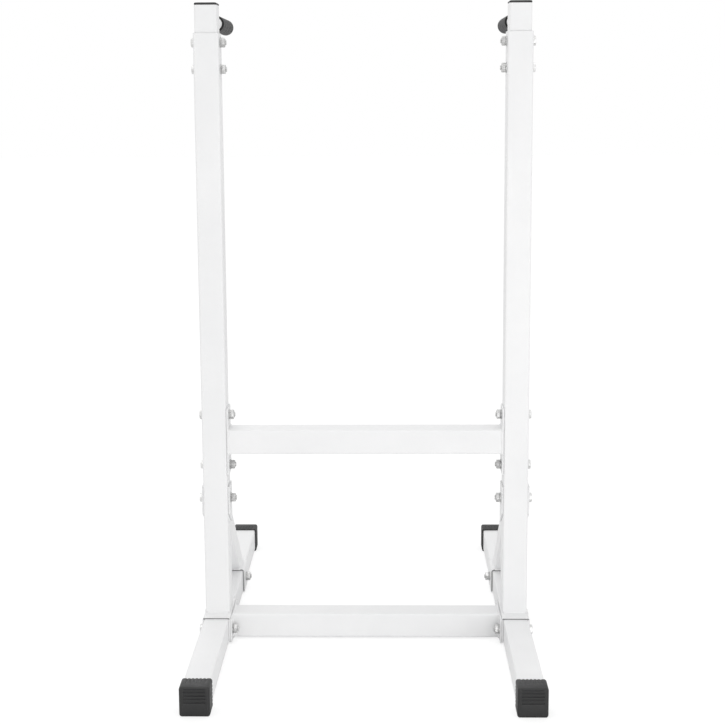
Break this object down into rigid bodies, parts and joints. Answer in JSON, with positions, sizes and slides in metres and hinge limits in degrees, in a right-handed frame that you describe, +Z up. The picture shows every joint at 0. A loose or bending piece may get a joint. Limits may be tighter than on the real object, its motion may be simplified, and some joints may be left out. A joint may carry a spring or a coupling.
{
  "type": "dip station",
  "caption": "Free-standing dip station of white square steel tube with braced uprights, parallel grip handles, bolted crossbars and black sleeve caps on its feet.",
  "frame": {"origin": "centre of the bounding box on the floor, midway between the feet and midway along them", "axes": "+Z up, +Y the way the handles point, +X to the right of somebody facing the way the handles point"},
  "size_m": [0.683, 0.91, 1.2972],
  "materials": {
    "white_powder_coat": "satin",
    "black_plastic": "satin",
    "grip_rubber": "matte",
    "zinc_plate": "satin"
  },
  "bodies": {
    "root": {"bolt_brace_saddle_left": "zinc_plate", "bolt_brace_saddle_right": "zinc_plate", "bolt_bracket_left": "zinc_plate", "bolt_bracket_right": "zinc_plate", "bolt_crossbar_1_left": "zinc_plate", "bolt_crossbar_1_right": "zinc_plate", "bolt_crossbar_2_left": "zinc_plate", "bolt_crossbar_2_right": "zinc_plate", "bolt_post_1_left": "zinc_plate", "bolt_post_1_right": "zinc_plate", "bolt_post_2_left": "zinc_plate", "bolt_post_2_right": "zinc_plate", "bolt_saddle_1_left": "zinc_plate", "bolt_saddle_1_right": "zinc_plate", "bolt_saddle_2_left": "zinc_plate", "bolt_saddle_2_right": "zinc_plate", "brace_bracket_left": "white_powder_coat", "brace_bracket_right": "white_powder_coat", "brace_left": "white_powder_coat", "brace_right": "white_powder_coat", "brace_saddle_left": "white_powder_coat", "brace_saddle_right": "white_powder_coat", "crossbar_lower": "white_powder_coat", "crossbar_upper": "white_powder_coat", "foot_cap_front_left": "black_plastic", "foot_cap_front_right": "black_plastic", "foot_cap_rear_left": "black_plastic", "foot_cap_rear_right": "black_plastic", "foot_left": "white_powder_coat", "foot_right": "white_powder_coat", "grip_left": "grip_rubber", "grip_right": "grip_rubber", "handle_left": "white_powder_coat", "handle_post_left": "white_powder_coat", "handle_post_right": "white_powder_coat", "handle_right": "white_powder_coat", "nut_brace_saddle_left": "zinc_plate", "nut_brace_saddle_right": "zinc_plate", "nut_bracket_left": "zinc_plate", "nut_bracket_right": "zinc_plate", "nut_crossbar_1_left": "zinc_plate", "nut_crossbar_1_right": "zinc_plate", "nut_crossbar_2_left": "zinc_plate", "nut_crossbar_2_right": "zinc_plate", "nut_post_1_left": "zinc_plate", "nut_post_1_right": "zinc_plate", "nut_post_2_left": "zinc_plate", "nut_post_2_right": "zinc_plate", "nut_saddle_1_left": "zinc_plate", "nut_saddle_1_right": "zinc_plate", "nut_saddle_2_left": "zinc_plate", "nut_saddle_2_right": "zinc_plate", "post_insert_left": "black_plastic", "post_insert_right": "black_plastic", "upright_left": "white_powder_coat", "upright_right": "white_powder_coat", "upright_saddle_left": "white_powder_coat", "upright_saddle_right": "white_powder_coat"}
  },
  "joints": []
}
